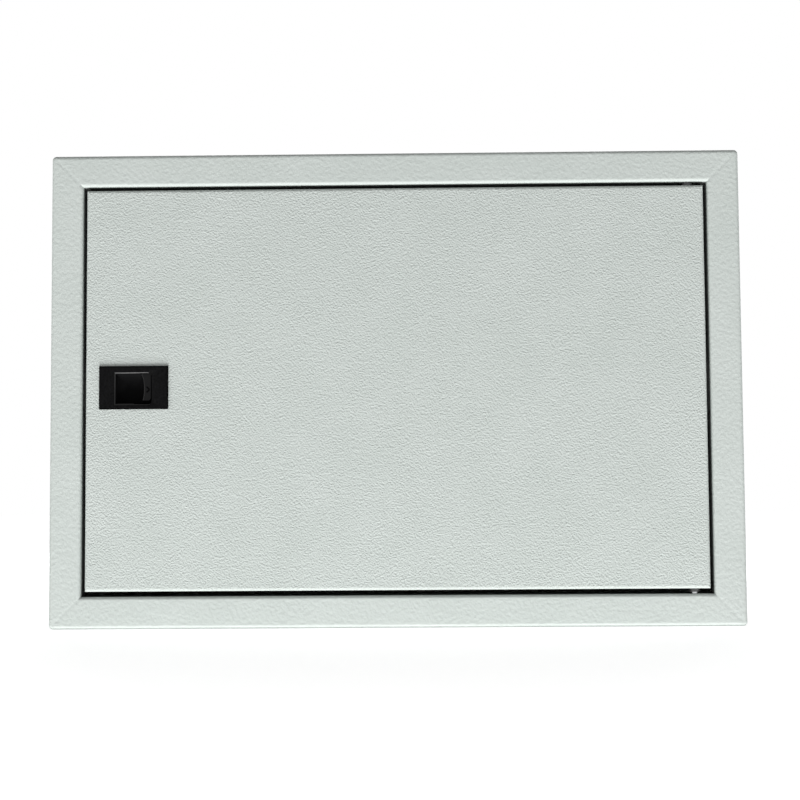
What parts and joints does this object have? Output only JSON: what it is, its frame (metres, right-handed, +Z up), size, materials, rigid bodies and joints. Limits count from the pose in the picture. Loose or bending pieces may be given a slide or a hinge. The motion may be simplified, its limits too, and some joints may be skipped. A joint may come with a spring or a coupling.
{
  "type": "surface-mount distribution board",
  "caption": "Shallow folded-steel wall box for a row of rail-mounted devices, with a flush hinged door, a black slide latch, an inner cover, a rail and terminal bars.",
  "frame": {"origin": "on the wall plane, at the centre of the four wall-fixing holes", "axes": "+X along the width to the right as seen from the front, +Y back into the wall, +Z up"},
  "size_m": [0.4, 0.1016, 0.275],
  "materials": {
    "grey_powder_coat": "light grey textured powder coat on folded steel sheet",
    "black_plastic": "black moulded plastic, fine grain",
    "zinc_steel": "bright zinc plate",
    "brass": "drawn brass bar",
    "blue_plastic": "blue moulded plastic",
    "green_plastic": "green moulded plastic",
    "grey_nylon": "dark grey nylon, turned"
  },
  "bodies": {
    "box": {"enclosure_wrap": "grey_powder_coat", "back_panel": "grey_powder_coat", "inner_cover": "grey_powder_coat", "hinge_pins": "zinc_steel", "din_rail": "zinc_steel", "rail_bracket_left": "zinc_steel", "rail_bracket_right": "zinc_steel", "rail_screws": "zinc_steel", "rail_nuts": "zinc_steel", "cover_pillar_upper_left": "zinc_steel", "cover_pillar_upper_right": "zinc_steel", "cover_pillar_lower_left": "zinc_steel", "cover_pillar_lower_right": "zinc_steel", "cover_screws": "zinc_steel", "neutral_terminal_screws": "zinc_steel", "neutral_bar_fixings": "zinc_steel", "earth_terminal_screws": "zinc_steel", "earth_bar_fixings": "zinc_steel", "earth_stud": "zinc_steel", "earth_stud_washer": "zinc_steel", "earth_stud_nut": "zinc_steel", "neutral_bar": "brass", "earth_bar": "brass", "neutral_insulator_left": "blue_plastic", "neutral_insulator_right": "blue_plastic", "earth_insulator_left": "green_plastic", "earth_insulator_right": "green_plastic"},
    "door": {"door_panel": "grey_powder_coat", "hinge_bushes": "grey_nylon", "latch_housing": "black_plastic", "latch_rear_cap": "black_plastic"},
    "slider": {"latch_slider": "black_plastic"}
  },
  "joints": [
    {"name": "door_hinge", "type": "hinge", "parent": "box", "child": "door", "pos_m": [0.1709, -0.094, 0], "axis": [0, 0, 1], "range_deg": [0, 120]},
    {"name": "latch_slide", "type": "slide", "parent": "door", "child": "slider", "axis": [-1, 0, 0], "range_m": [0, 0.0058]}
  ]
}
